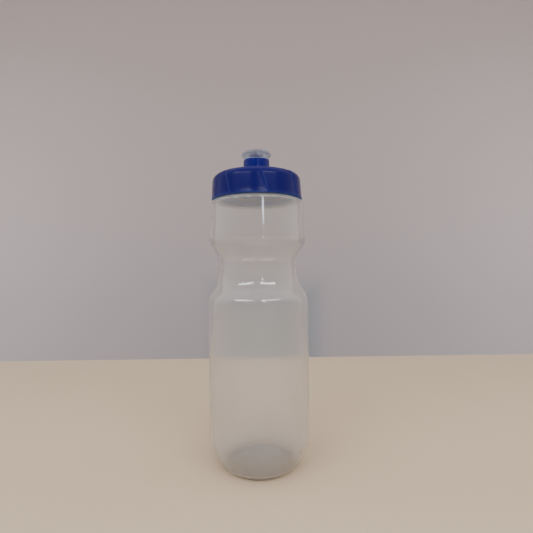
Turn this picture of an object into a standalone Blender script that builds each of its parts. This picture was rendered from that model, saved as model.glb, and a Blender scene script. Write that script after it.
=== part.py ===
"""Sports squeeze bottle: a blow-moulded bottle, a screw cap with a push-pull spout, and their seal.

Metres, +Z up. The origin is the middle of the foot, on the surface that the bottle stands on. Every size
that can be set by itself is a named value below, and what fits to it is worked out from it. An outline is
a list of corners (radius, height, fillet) that is rounded and turned about the Z axis.
"""

import math

import bmesh
import bpy
from mathutils import Matrix, Vector

MM = 0.001

# Bottle: outer surface, from the foot up
FOOT_INNER_RADIUS = 21.5 * MM
FOOT_RADIUS = 25.3 * MM
PUSH_UP = 3.6 * MM
HEEL_RISE = 3.1 * MM
HEEL_REACH = 4.05 * MM
CHAMFER_RISE = 14.25 * MM
BODY_RADIUS = 36.9 * MM
BODY_DRAFT = 0.35 * MM
BODY_HEIGHT = 121.6 * MM
LOWER_SHOULDER_RISE = 10.3 * MM
WAIST_RADIUS = 28.05 * MM
WAIST_DRAFT = 1.4 * MM
WAIST_RISE = 17.3 * MM
UPPER_SHOULDER_RISE = 11.95 * MM
UPPER_DRAFT = 1.45 * MM
UPPER_RISE = 30.55 * MM
BODY_WALL = 1.2 * MM
SHOULDER_PROUD = 0.4 * MM

# Bottle: fillets of that surface, and the dish under the foot
DISH_MARGIN = 5 * MM
DISH_DROP = 0.4 * MM
DISH_FILLET = 6 * MM
FOOT_INNER_FILLET = 0.8 * MM
FOOT_FILLET = 1.6 * MM
HEEL_FILLET = 4.6 * MM
CHAMFER_FILLET = 22 * MM
BODY_FILLET = 9 * MM
WAIST_LOW_FILLET = 19 * MM
WAIST_TOP_FILLET = 13.3 * MM
UPPER_FILLET = 10.2 * MM
SHOULDER_FILLET = 3 * MM
LEAST_FILLET = 0.3 * MM

# Neck and screw thread
NECK_BORE_RADIUS = 27.0 * MM
NECK_WALL = 1.6 * MM
NECK_HEIGHT = 14.3 * MM
NECK_ROOT_FILLET = 1 * MM
NECK_RIM_FILLET = 0.4 * MM
THREAD_LEAD = 5.0 * MM
THREAD_DEPTH = 1.5 * MM
THREAD_ROOT_WIDTH = 2.2 * MM
THREAD_CREST_WIDTH = 1.0 * MM
THREAD_LOWEST = 4.8 * MM
NECK_THREAD_TURNS = 1.25
CAP_THREAD_TURNS = 1.0
THREAD_CLEARANCE = 0.4 * MM

# Cap
CAP_GAP = 0.7 * MM
CAP_WALL = 2.8 * MM
CAP_DRAFT = 1.1 * MM
CAP_RIM_FILLET = 5.3 * MM
CAP_EDGE_FILLET = 0.5 * MM
CAP_LEAD_IN = 0.6 * MM
CAP_INNER_FILLET = 0.8 * MM
PLATEAU_MARGIN = 1.5 * MM
PLATEAU_FILLET = 2 * MM
DECK_THICKNESS = 2.2 * MM
DECK_DOME = 0.9 * MM
GRIP_PANELS = 8
GRIP_STEP = 0.5 * MM
GRIP_FIRST_AZIMUTH = math.radians(-85.4)
GRIP_LEAN = math.radians(16.7)
GRIP_FADE = 2.0 * MM

# Seal ring between the neck's rim and the deck
SEAL_THICKNESS = 1.5 * MM
SEAL_INNER_GAP = 0.3 * MM
SEAL_OUTER_GAP = 0.6 * MM
SEAL_KEEPER_WALL = 1.2 * MM
SEAL_KEEPER_DEPTH = 1.6 * MM
SEAL_EDGE = 0.4 * MM

# Valve stem of the cap
STEM_RADIUS = 6.9 * MM
STEM_BORE_RADIUS = 5.2 * MM
STEM_BEAD = 0.6 * MM
STEM_BEAD_HEIGHT = 1.3 * MM
PIN_RADIUS = 2.7 * MM
PIN_TIP = 0.5 * MM
PIN_ENGAGEMENT = 1.6 * MM
WEB_COUNT = 3
WEB_THICKNESS = 1.2 * MM
WEB_HEIGHT = 2.7 * MM
WEB_TURN = math.radians(15.6)

# Push-pull spout
SPOUT_TRAVEL = 5.0 * MM
SPOUT_LIP_HEIGHT = 1.5 * MM
SPOUT_WALL = 1.8 * MM
SPOUT_DRAFT = 0.15 * MM
SPOUT_CEILING = 1.7 * MM
SPOUT_EDGE = 0.5 * MM
SPOUT_LEAD_IN = 0.3 * MM
NOZZLE_RADIUS = 6.5 * MM
NOZZLE_WALL = 1.5 * MM
NOZZLE_HEIGHT = 3.5 * MM
NOZZLE_EDGE = 0.3 * MM
ORIFICE_LENGTH = 2.8 * MM

# Mouthpiece
MOUTH_NECK_RADIUS = 8.95 * MM
MOUTH_FLARE = 1.9 * MM
MOUTH_FLARE_RISE = 3.8 * MM
MOUTH_LIP_ROLL = 1.0 * MM
MOUTH_LIP_RISE = 1.5 * MM
MOUTH_LIP_WIDTH = 1.2 * MM
MOUTH_RIM_FILLET = 0.5 * MM
MOUTH_EDGE = 0.4 * MM
MOUTH_BORE_RADIUS = 4.2 * MM
MOUTH_FLOOR = 0.8 * MM

# Clearances
TOUCH_GAP = 0.3 * MM
SLIDING_CLEARANCE = 0.3 * MM
PIN_CLEARANCE = 0.3 * MM

# Facets
SEGMENTS = 40
ARC_STEP = math.radians(18)
SMALL_FILLET = 0.7 * MM
FILLET_SHARE = 0.49
NEARLY_STRAIGHT = math.radians(89.9)
SHARP_ANGLE = math.radians(35)
PANEL_COLUMNS = 5
SIDE_ROWS = 4
STEP_WIDTH = math.radians(0.8)
THREAD_RUNOUT = 1 / 12
BURIED = 0.45 * MM
MERGE_DISTANCE = 0.0001 * MM

# What follows from the sizes above
HEEL_RADIUS = FOOT_RADIUS + HEEL_REACH
CHAMFER_TOP = HEEL_RISE + CHAMFER_RISE
WAIST_LOW_Z = BODY_HEIGHT + LOWER_SHOULDER_RISE
WAIST_TOP_Z = WAIST_LOW_Z + WAIST_RISE
UPPER_Z = WAIST_TOP_Z + UPPER_SHOULDER_RISE
SHOULDER_Z = UPPER_Z + UPPER_RISE
NECK_RADIUS = NECK_BORE_RADIUS + NECK_WALL
NECK_TOP_Z = SHOULDER_Z + NECK_HEIGHT
THREAD_Z = SHOULDER_Z + THREAD_LOWEST
CAP_BORE_RADIUS = NECK_RADIUS + THREAD_DEPTH + THREAD_CLEARANCE
CAP_RADIUS = CAP_BORE_RADIUS + CAP_WALL
SHOULDER_RADIUS = CAP_RADIUS + SHOULDER_PROUD
UPPER_RADIUS = SHOULDER_RADIUS + UPPER_DRAFT
CAP_Z = SHOULDER_Z + CAP_GAP
SEAL_Z = NECK_TOP_Z + TOUCH_GAP
DECK_UNDER_Z = SEAL_Z + SEAL_THICKNESS + TOUCH_GAP
DECK_RIM_Z = DECK_UNDER_Z + DECK_THICKNESS
DECK_TOP_Z = DECK_RIM_Z + DECK_DOME
SPOUT_Z = DECK_TOP_Z + TOUCH_GAP
BEAD_RADIUS = STEM_RADIUS + STEM_BEAD
BEAD_Z = SPOUT_Z + SPOUT_LIP_HEIGHT + SPOUT_TRAVEL + STEM_BEAD
STEM_TOP_Z = BEAD_Z + STEM_BEAD_HEIGHT
SPOUT_BORE_RADIUS = BEAD_RADIUS + SLIDING_CLEARANCE
SPOUT_LIP_RADIUS = STEM_RADIUS + SLIDING_CLEARANCE
SPOUT_RADIUS = SPOUT_BORE_RADIUS + SPOUT_WALL
CEILING_Z = STEM_TOP_Z + TOUCH_GAP
SPOUT_TOP_Z = CEILING_Z + SPOUT_CEILING
NOZZLE_TOP_Z = SPOUT_TOP_Z + NOZZLE_HEIGHT
ORIFICE_RADIUS = PIN_RADIUS + PIN_CLEARANCE
ORIFICE_Z = NOZZLE_TOP_Z - ORIFICE_LENGTH
PIN_TOP_Z = ORIFICE_Z + PIN_ENGAGEMENT
MOUTH_Z = SPOUT_TOP_Z + TOUCH_GAP
MOUTH_SOCKET_RADIUS = NOZZLE_RADIUS + TOUCH_GAP
MOUTH_FLOOR_Z = NOZZLE_TOP_Z + TOUCH_GAP
MOUTH_RIM_Z = MOUTH_Z + MOUTH_FLARE_RISE
MOUTH_TOP_Z = MOUTH_RIM_Z + MOUTH_LIP_RISE


def rounded(corners, closed=False):
    """The outline through corners (radius, height, fillet), with an arc for each fillet.

    An arc takes at most half of the shorter side beside it, so it still fits when a size changes. A small
    one is a plain bevel.
    """
    points = []
    count = len(corners)
    for index, (radius, height, fillet) in enumerate(corners):
        here = Vector((radius, height))
        if fillet == 0 or (not closed and index in (0, count - 1)):
            points.append(here)
            continue
        back = Vector(corners[index - 1][:2]) - here
        ahead = Vector(corners[(index + 1) % count][:2]) - here
        half_angle = back.angle(ahead) / 2
        if half_angle > NEARLY_STRAIGHT:
            points.append(here)
            continue
        room = FILLET_SHARE * min(back.length, ahead.length)
        reach = min(fillet / math.tan(half_angle), room)
        bulge = reach * math.tan(half_angle)
        centre = here + (back.normalized() + ahead.normalized()).normalized() * bulge / math.sin(half_angle)
        start = here + back.normalized() * reach - centre
        turn = start.angle_signed(here + ahead.normalized() * reach - centre)
        steps = max(2, round(abs(turn) / ARC_STEP)) if fillet > SMALL_FILLET else 1
        for step in range(steps + 1):
            points.append(centre + Matrix.Rotation(-turn * step / steps, 2) @ start)
    return points


def inset(corners, distance):
    """The same corners moved to the left of their direction of travel, with concentric fillets."""
    moved = []
    last = len(corners) - 1
    for index, (radius, height, fillet) in enumerate(corners):
        here = Vector((radius, height))
        before = Vector(corners[max(index - 1, 0)][:2])
        after = Vector(corners[min(index + 1, last)][:2])
        into = (here - before).normalized() if index > 0 else (after - here).normalized()
        out = (after - here).normalized() if index < last else into
        normal = (Vector((-into.y, into.x)) + Vector((-out.y, out.x))).normalized()
        shift = distance / normal.dot(Vector((-out.y, out.x)))
        place = here + normal * shift
        turns_left = into.x * out.y - into.y * out.x > 0
        inner_fillet = max(fillet - distance, LEAST_FILLET) if turns_left else fillet + distance
        moved.append((place.x, place.y, inner_fillet))
    return moved


def plain_material(name, colour, roughness, alpha=1.0):
    material = bpy.data.materials.new(name)
    material.use_nodes = True
    shader = material.node_tree.nodes["Principled BSDF"]
    shader.inputs["Base Color"].default_value = (*colour, 1.0)
    shader.inputs["Roughness"].default_value = roughness
    shader.inputs["Metallic"].default_value = 0.0
    shader.inputs["Alpha"].default_value = alpha
    return material


def object_from(bm, name, base_z, material=None):
    """An object of this mesh, given in world heights, with its origin on the Z axis at base_z."""
    bmesh.ops.remove_doubles(bm, verts=bm.verts, dist=MERGE_DISTANCE)
    bmesh.ops.recalc_face_normals(bm, faces=bm.faces)
    bmesh.ops.translate(bm, verts=bm.verts, vec=(0, 0, -base_z))
    mesh = bpy.data.meshes.new(name)
    bm.to_mesh(mesh)
    bm.free()
    mesh.shade_smooth()
    mesh.set_sharp_from_angle(angle=SHARP_ANGLE)
    obj = bpy.data.objects.new(name, mesh)
    obj.location.z = base_z
    bpy.context.scene.collection.objects.link(obj)
    if material:
        mesh.materials.append(material)
    return obj


def turned(name, points, base_z, material=None, closed=True, segments=SEGMENTS):
    """A solid of revolution. An outline that isn't closed starts and ends on the axis."""
    bm = bmesh.new()
    verts = [bm.verts.new((point.x, 0, point.y)) for point in points]
    pairs = zip(verts, verts[1:] + verts[:1] if closed else verts[1:])
    edges = [bm.edges.new(pair) for pair in pairs]
    bmesh.ops.spin(
        bm,
        geom=verts + edges,
        axis=(0, 0, 1),
        cent=(0, 0, 0),
        angle=math.tau,
        steps=segments,
        use_merge=True,
    )
    return object_from(bm, name, base_z, material)


def thread_ridge(name, wall_radius, depth, lowest_z, turns, base_z):
    """A helical ridge standing on a wall: outside it for a positive depth, inside it for a negative one.

    Both ends run out into the wall.
    """
    bm = bmesh.new()
    outward = math.copysign(1, depth)
    steps = round(turns * SEGMENTS)
    runout = SEGMENTS * THREAD_RUNOUT
    flank = (THREAD_ROOT_WIDTH - THREAD_CREST_WIDTH) / 2
    sections = []
    for step in range(steps + 1):
        angle = math.tau * (step + 0.5) / SEGMENTS
        middle = lowest_z + THREAD_LEAD * step / SEGMENTS
        grown = min(1, step / runout, (steps - step) / runout)
        crest = wall_radius + depth * grown - outward * BURIED / 2 * (1 - grown)
        root = wall_radius - outward * BURIED
        foot_half = THREAD_ROOT_WIDTH / 2 + flank * BURIED / abs(depth)
        crest_half = THREAD_CREST_WIDTH / 2 + flank * (1 - grown)
        ring = [(root, -foot_half), (crest, -crest_half), (crest, crest_half), (root, foot_half)]
        sections.append(
            [
                bm.verts.new((radius * math.cos(angle), radius * math.sin(angle), middle + rise))
                for radius, rise in ring
            ]
        )
    for low, high in zip(sections, sections[1:]):
        for side in range(4):
            after = (side + 1) % 4
            bm.faces.new((low[side], low[after], high[after], high[side]))
    bm.faces.new(sections[0])
    bm.faces.new(sections[-1])
    return object_from(bm, name, base_z)


def join_to(target, helper):
    """Unites a helper with its target, and keeps the helper out of the model."""
    modifier = target.modifiers.new(helper.name, "BOOLEAN")
    modifier.operation = "UNION"
    modifier.solver = "EXACT"
    modifier.object = helper
    helper.hide_render = True
    helper.display_type = "WIRE"


def bottle_body():
    outer = [
        (0, PUSH_UP, 0),
        (FOOT_INNER_RADIUS - DISH_MARGIN, PUSH_UP - DISH_DROP, DISH_FILLET),
        (FOOT_INNER_RADIUS, 0, FOOT_INNER_FILLET),
        (FOOT_RADIUS, 0, FOOT_FILLET),
        (HEEL_RADIUS, HEEL_RISE, HEEL_FILLET),
        (BODY_RADIUS - BODY_DRAFT, CHAMFER_TOP, CHAMFER_FILLET),
        (BODY_RADIUS, BODY_HEIGHT, BODY_FILLET),
        (WAIST_RADIUS + WAIST_DRAFT, WAIST_LOW_Z, WAIST_LOW_FILLET),
        (WAIST_RADIUS, WAIST_TOP_Z, WAIST_TOP_FILLET),
        (UPPER_RADIUS, UPPER_Z, UPPER_FILLET),
        (SHOULDER_RADIUS, SHOULDER_Z, SHOULDER_FILLET),
        (NECK_RADIUS, SHOULDER_Z, 0),
    ]
    inner = inset(outer, BODY_WALL)
    inner[0] = (0, inner[0][1], 0)
    inner[-1] = (NECK_BORE_RADIUS, SHOULDER_Z - BODY_WALL, NECK_ROOT_FILLET)
    neck = [(radius, NECK_TOP_Z, NECK_RIM_FILLET) for radius in (NECK_RADIUS, NECK_BORE_RADIUS)]
    outline = rounded(outer + neck + inner[::-1])
    material = plain_material("translucent_ldpe", (0.62, 0.62, 0.60), 0.35, 0.6)
    bottle = turned("bottle_body", outline, 0, material, closed=False)
    ridge = thread_ridge("neck_thread_tool", NECK_RADIUS, THREAD_DEPTH, THREAD_Z, NECK_THREAD_TURNS, 0)
    join_to(bottle, ridge)
    return bottle


def grip_columns():
    """(azimuth, share) of the cap's columns. The share goes from 0 at a panel's proud edge to 1 at its low one."""
    span = math.tau / GRIP_PANELS
    columns = []
    for panel in range(GRIP_PANELS):
        start = GRIP_FIRST_AZIMUTH + panel * span
        columns.append((start - STEP_WIDTH / 2, 1.0))
        columns.append((start + STEP_WIDTH / 2, 0.0))
        for column in range(1, PANEL_COLUMNS):
            columns.append((start + span * column / PANEL_COLUMNS, column / PANEL_COLUMNS))
    return columns


def cap_shell():
    """The cap as one ring of columns. Only its outer side has the leaning, stepped grip panels."""
    rim_radius = CAP_RADIUS - CAP_DRAFT
    side_low = CAP_Z + GRIP_FADE
    side_height = DECK_RIM_Z - CAP_RIM_FILLET - side_low
    side = []
    for row in range(SIDE_ROWS):
        height = side_low + side_height * row / SIDE_ROWS
        side.append((CAP_RADIUS - CAP_DRAFT * (height - CAP_Z) / (DECK_RIM_Z - CAP_Z), height, 0))
    outside = [(CAP_RADIUS, CAP_Z, CAP_EDGE_FILLET), *side, (rim_radius, DECK_RIM_Z, CAP_RIM_FILLET)]
    stem = [
        (SPOUT_RADIUS + PLATEAU_MARGIN, DECK_TOP_Z, PLATEAU_FILLET),
        (STEM_RADIUS, DECK_TOP_Z, 0),
        (STEM_RADIUS, BEAD_Z - STEM_BEAD, 0),
        (BEAD_RADIUS, BEAD_Z, 0),
        (BEAD_RADIUS, STEM_TOP_Z - STEM_BEAD, 0),
        (STEM_RADIUS, STEM_TOP_Z, 0),
        (STEM_BORE_RADIUS, STEM_TOP_Z, 0),
    ]
    keeper_outer = NECK_BORE_RADIUS - SEAL_OUTER_GAP
    keeper_inner = keeper_outer - SEAL_KEEPER_WALL
    keeper_z = DECK_UNDER_Z - SEAL_KEEPER_DEPTH
    inside = [
        (STEM_BORE_RADIUS, DECK_UNDER_Z + DECK_DOME, 0),
        (keeper_inner, DECK_UNDER_Z, 0),
        (keeper_inner, keeper_z, 0),
        (keeper_outer, keeper_z, 0),
        (keeper_outer, DECK_UNDER_Z, 0),
        (CAP_BORE_RADIUS, DECK_UNDER_Z, CAP_INNER_FILLET),
        (CAP_BORE_RADIUS, CAP_Z + CAP_LEAD_IN, 0),
        (CAP_BORE_RADIUS + CAP_LEAD_IN, CAP_Z, 0),
    ]
    outer_rows = rounded([inside[-1], *outside, stem[0]])[1:-1]
    inner_rows = rounded([outside[-1], *stem, *inside, outside[0]])[1:-1]
    foot_shift = math.tan(GRIP_LEAN) * (DECK_RIM_Z - CAP_Z) / CAP_RADIUS
    rows = []
    for point in outer_rows:
        rise = min(1, (point.y - CAP_Z) / (DECK_RIM_Z - CAP_Z))
        grip = max(0, min(1, (point.y - CAP_Z) / GRIP_FADE))
        if point.x < rim_radius:
            grip = max(0, 1 - (rim_radius - point.x) / CAP_RIM_FILLET)
        rows.append((point.x, point.y, foot_shift * (1 - rise), grip * GRIP_STEP))
    for point in inner_rows:
        in_skirt = point.x > (CAP_BORE_RADIUS + keeper_outer) / 2 and point.y < DECK_UNDER_Z
        rows.append((point.x, point.y, foot_shift if in_skirt else 0, 0))
    bm = bmesh.new()
    grid = []
    for azimuth, share in grip_columns():
        column = []
        for radius, height, shift, step in rows:
            turn = azimuth + shift
            reach = radius - step * share
            column.append(bm.verts.new((reach * math.cos(turn), reach * math.sin(turn), height)))
        grid.append(column)
    for here, there in zip(grid, grid[1:] + grid[:1]):
        for row in range(len(rows)):
            after = (row + 1) % len(rows)
            bm.faces.new((here[row], there[row], there[after], here[after]))
    return bm


def valve_webs():
    """Radial webs that carry the pin in the stem's bore and leave the way open between them."""
    bm = bmesh.new()
    inner_end = PIN_RADIUS - 2 * BURIED
    outer_end = STEM_BORE_RADIUS + BURIED
    size = Vector((outer_end - inner_end, WEB_THICKNESS, WEB_HEIGHT))
    middle = Vector(((outer_end + inner_end) / 2, 0, DECK_UNDER_Z + DECK_DOME + WEB_HEIGHT / 2 + BURIED))
    for web in range(WEB_COUNT):
        turn = Matrix.Rotation(WEB_TURN + math.tau * web / WEB_COUNT, 4, "Z")
        bmesh.ops.create_cube(bm, size=1, matrix=turn @ Matrix.Translation(middle) @ Matrix.Diagonal((*size, 1)))
    return bm


def screw_cap():
    material = plain_material("blue_polypropylene", (0.012, 0.021, 0.155), 0.3)
    cap = object_from(cap_shell(), "screw_cap", CAP_Z, material)
    thread_z = THREAD_Z - THREAD_LEAD / 2
    ridge = thread_ridge("cap_thread_tool", CAP_BORE_RADIUS, -THREAD_DEPTH, thread_z, CAP_THREAD_TURNS, CAP_Z)
    webs = object_from(valve_webs(), "valve_webs_tool", CAP_Z)
    pin_foot_z = DECK_UNDER_Z + DECK_DOME
    pin_ends = [(PIN_RADIUS, pin_foot_z, PIN_TIP), (PIN_RADIUS, PIN_TOP_Z, PIN_TIP)]
    pin_outline = rounded([(0, pin_foot_z, 0), *pin_ends, (0, PIN_TOP_Z, 0)])
    pin = turned("valve_pin_tool", pin_outline, CAP_Z, closed=False, segments=SEGMENTS // 2)
    for helper in (ridge, webs, pin):
        join_to(cap, helper)
    return cap


def cap_seal():
    inner = NECK_BORE_RADIUS - SEAL_OUTER_GAP + SEAL_INNER_GAP
    outer = CAP_BORE_RADIUS - SEAL_OUTER_GAP
    top = SEAL_Z + SEAL_THICKNESS
    places = [(inner, SEAL_Z), (outer, SEAL_Z), (outer, top), (inner, top)]
    corners = [(radius, height, SEAL_EDGE) for radius, height in places]
    material = plain_material("clear_silicone", (0.7, 0.7, 0.7), 0.4, 0.7)
    return turned("cap_seal", rounded(corners, closed=True), SEAL_Z, material)


def spout_barrel():
    lip_top = SPOUT_Z + SPOUT_LIP_HEIGHT
    cavity = NOZZLE_RADIUS - NOZZLE_WALL
    corners = [
        (SPOUT_RADIUS + SPOUT_DRAFT, SPOUT_Z, SPOUT_EDGE),
        (SPOUT_RADIUS, SPOUT_TOP_Z, SPOUT_EDGE),
        (NOZZLE_RADIUS, SPOUT_TOP_Z, 0),
        (NOZZLE_RADIUS, NOZZLE_TOP_Z, NOZZLE_EDGE),
        (ORIFICE_RADIUS, NOZZLE_TOP_Z, 0),
        (ORIFICE_RADIUS, ORIFICE_Z, 0),
        (cavity, ORIFICE_Z, 0),
        (cavity, CEILING_Z, 0),
        (SPOUT_BORE_RADIUS, CEILING_Z, 0),
        (SPOUT_BORE_RADIUS, lip_top + STEM_BEAD, 0),
        (SPOUT_LIP_RADIUS, lip_top, 0),
        (SPOUT_LIP_RADIUS, SPOUT_Z + SPOUT_LEAD_IN, 0),
        (SPOUT_LIP_RADIUS + SPOUT_LEAD_IN, SPOUT_Z, 0),
    ]
    material = plain_material("blue_polypropylene_spout", (0.014, 0.026, 0.19), 0.28)
    return turned("spout_barrel", rounded(corners, closed=True), SPOUT_Z, material)


def mouthpiece():
    rim = MOUTH_NECK_RADIUS + MOUTH_FLARE
    top = rim - MOUTH_LIP_ROLL
    throat_z = MOUTH_FLOOR_Z + MOUTH_FLOOR
    corners = [
        (MOUTH_NECK_RADIUS, MOUTH_Z, 0),
        (rim, MOUTH_RIM_Z, MOUTH_RIM_FILLET),
        (top, MOUTH_TOP_Z, MOUTH_EDGE),
        (top - MOUTH_LIP_WIDTH, MOUTH_TOP_Z, MOUTH_EDGE),
        (MOUTH_BORE_RADIUS, throat_z, MOUTH_EDGE),
        (MOUTH_BORE_RADIUS, MOUTH_FLOOR_Z, 0),
        (MOUTH_SOCKET_RADIUS, MOUTH_FLOOR_Z, 0),
        (MOUTH_SOCKET_RADIUS, MOUTH_Z, 0),
    ]
    material = plain_material("translucent_tpe", (0.66, 0.66, 0.66), 0.45, 0.75)
    return turned("mouthpiece", rounded(corners, closed=True), MOUTH_Z, material)


def carry(child, parent):
    """Parents one piece to another and leaves it where it is."""
    child.parent = parent
    child.location.z -= parent.matrix_world.translation.z


def main():
    for obj in list(bpy.data.objects):
        bpy.data.objects.remove(obj, do_unlink=True)
    bottle = bottle_body()
    seal = cap_seal()
    cap = screw_cap()
    barrel = spout_barrel()
    mouth = mouthpiece()
    bpy.context.view_layer.update()
    for child, parent in ((seal, bottle), (cap, seal), (barrel, cap), (mouth, barrel)):
        carry(child, parent)


main()
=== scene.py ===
"""Looks of a sports squeeze bottle: a milky bottle, a blue screw cap and a push-pull drinking spout.

Metres, +Z up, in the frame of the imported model. Every piece is turned from an outline of corners
(radius, height, fillet), and what isn't round (threads, grip steps, seams) is pressed into it afterwards.
"""

import math

import bmesh
import bpy
from bpy.props import FloatProperty, FloatVectorProperty, IntProperty, PointerProperty
from mathutils import Matrix, Vector, noise


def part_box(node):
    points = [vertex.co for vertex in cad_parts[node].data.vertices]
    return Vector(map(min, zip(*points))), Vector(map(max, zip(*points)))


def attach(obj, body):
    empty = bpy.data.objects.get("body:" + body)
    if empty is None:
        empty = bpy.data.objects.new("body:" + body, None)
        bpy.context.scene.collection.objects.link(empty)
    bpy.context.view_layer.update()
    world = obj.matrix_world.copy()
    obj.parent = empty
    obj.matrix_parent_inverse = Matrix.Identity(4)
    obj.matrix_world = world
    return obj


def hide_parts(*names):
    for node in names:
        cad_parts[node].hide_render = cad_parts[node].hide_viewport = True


bl_info = {
    "name": "Sports Squeeze Bottle",
    "version": (1, 0, 0),
    "blender": (4, 5, 0),
    "location": "3D View > Sidebar > Squeeze Bottle",
    "description": "Moulds a sports squeeze bottle with its cap, seal and spout, and sets it on a stage",
    "category": "Add Mesh",
}

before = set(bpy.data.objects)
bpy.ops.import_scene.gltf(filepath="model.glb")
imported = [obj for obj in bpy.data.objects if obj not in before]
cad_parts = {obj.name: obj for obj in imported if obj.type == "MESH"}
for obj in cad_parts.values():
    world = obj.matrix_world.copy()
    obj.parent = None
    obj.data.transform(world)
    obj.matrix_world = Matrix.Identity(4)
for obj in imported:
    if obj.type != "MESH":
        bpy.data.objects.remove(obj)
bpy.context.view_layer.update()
BOTTLE_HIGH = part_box("bottle_body")[1]
CAP_LOW, CAP_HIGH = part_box("screw_cap")
SEAL_LOW, SEAL_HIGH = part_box("cap_seal")
SPOUT_LOW, SPOUT_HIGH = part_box("spout_barrel")
MOUTH_LOW, MOUTH_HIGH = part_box("mouthpiece")

MM = 0.001
COLUMNS = 168
ARC_STEP = math.radians(5)
FILLET_SHARE = 0.49  # of an outline's edge, so that the fillets at its two ends never meet
SMALLEST_FILLET = 0.3 * MM
NEARLY_STRAIGHT = math.radians(89.9)
SHARP_ANGLE = math.radians(42)
MERGE_DISTANCE = 0.0001 * MM
THREAD_RUNOUT = 1 / 12  # of a turn, over which a thread rises to its full depth
WHOLE_RANGE = (0.0, 1.0)
NOISE_RANGE = (0.3, 0.7)  # nearly all values of a noise texture lie in it
WHITE = (1.0, 1.0, 1.0)
WARM_WHITE = (1.0, 0.985, 0.96)
COOL_WHITE = (0.95, 0.97, 1.0)
SKY_BLUE = (0.72, 0.80, 1.0)
# name, value that holds the radiance, azimuth and elevation in degrees, width and height in metres, tint
LAMPS = (
    ("panel_left", "panel_light", -35, 35, 0.62, 0.11, COOL_WHITE),
    ("panel_right", "panel_light", 31, 35, 0.62, 0.11, WARM_WHITE),
    ("strip", "strip_light", 15.2, 20.0, 0.054, 0.114, SKY_BLUE),
)
# the two lamps that wash the backdrop: their size, and how far they stand aside, in front of it and high
WASH_SIZE = (0.5, 1.2)
WASH_ASIDE = 1.15
WASH_FORWARD = 0.65
WASH_HEIGHT = 0.2
WASH_TURN = math.radians(25)


def from_hex(text):
    """The linear colour of an sRGB hex value."""
    levels = [int(text[place : place + 2], 16) / 255 for place in (1, 3, 5)]
    return tuple(
        level / 12.92 if level <= 0.04045 else ((level + 0.055) / 1.055) ** 2.4 for level in levels
    )


def length(name, description, metres):
    return FloatProperty(
        name=name, description=description, default=metres, precision=5, unit="LENGTH", subtype="DISTANCE"
    )


def angle(name, description, degrees):
    return FloatProperty(
        name=name, description=description, default=math.radians(degrees), unit="ROTATION", subtype="ANGLE"
    )


def share(name, description, value):
    return FloatProperty(name=name, description=description, default=value, min=0, subtype="FACTOR")


def colour(name, description, text):
    return FloatVectorProperty(
        name=name, description=description, default=from_hex(text), min=0, max=1, size=3, subtype="COLOR"
    )


class BottleSizes(bpy.types.PropertyGroup):
    """Sizes of the blow-moulded bottle, from the foot up."""

    body_radius: length("Body radius", "Largest radius, at the top of the body", BOTTLE_HIGH.x)
    body_draft: length("Body draft", "How much narrower the body is at its foot", 0.35 * MM)
    wall: length("Wall", "Thickness of the blown wall", 1.2 * MM)
    push_up: length("Push-up", "Height of the dish under the foot", 3.6 * MM)
    dish_margin: length("Dish margin", "From the foot ring in to the flat of the dish", 5 * MM)
    foot_inner_radius: length("Foot inner radius", "Inner side of the ring it stands on", 21.5 * MM)
    foot_radius: length("Foot radius", "Outer side of the ring it stands on", 25.3 * MM)
    heel_radius: length("Heel radius", "Corner between foot and chamfer", 29.35 * MM)
    heel_height: length("Heel height", "Height of that corner", 3.1 * MM)
    chamfer_height: length("Chamfer height", "Where the tapered foot meets the body", 17.35 * MM)
    body_height: length("Body height", "Top of the body", 121.6 * MM)
    waist_low_radius: length("Waist foot radius", "Radius where the grip waist begins", 29.45 * MM)
    waist_low_height: length("Waist foot height", "Height where the grip waist begins", 131.9 * MM)
    waist_radius: length("Waist radius", "Narrowest radius of the grip waist", 28.05 * MM)
    waist_top_height: length("Waist top height", "Where the wall flares to the upper section", 149.2 * MM)
    upper_radius: length("Upper radius", "Widest radius of the upper section", 35.15 * MM)
    upper_height: length("Upper height", "Height of that widest corner", 161.15 * MM)
    shoulder_radius: length("Shoulder radius", "Radius under the cap", 33.7 * MM)
    shoulder_height: length("Shoulder height", "Ledge that the neck stands on", 192.0 * MM)
    neck_radius: length("Neck radius", "Outer radius of the neck, without its thread", 28.6 * MM)
    neck_bore: length("Neck bore", "Radius of the filling mouth", 27.0 * MM)
    neck_top: length("Neck top", "Height of the neck's rim", BOTTLE_HIGH.z)
    thread_lead: length("Thread lead", "Rise of the screw thread in one turn", 5 * MM)
    thread_depth: length("Thread depth", "How far the thread stands off the neck", 1.5 * MM)
    thread_root: length("Thread root", "Width of the thread at its foot", 2.2 * MM)
    thread_crest: length("Thread crest", "Width of the thread at its top", 1.0 * MM)
    thread_height: length("Thread height", "Where the neck's thread starts", 196.5 * MM)
    thread_turns: FloatProperty(name="Thread turns", description="Turns of the neck's thread", default=1.25)
    seam_azimuth: angle("Seam azimuth", "Where the two mould halves meet, from the +X axis", -52)
    seam_height: length("Seam height", "How far the parting line stands proud", 0.1 * MM)
    seam_width: length("Seam width", "Width of the parting line", 0.5 * MM)
    waviness: length("Waviness", "How far the blown wall wanders inwards", 0.12 * MM)


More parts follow.
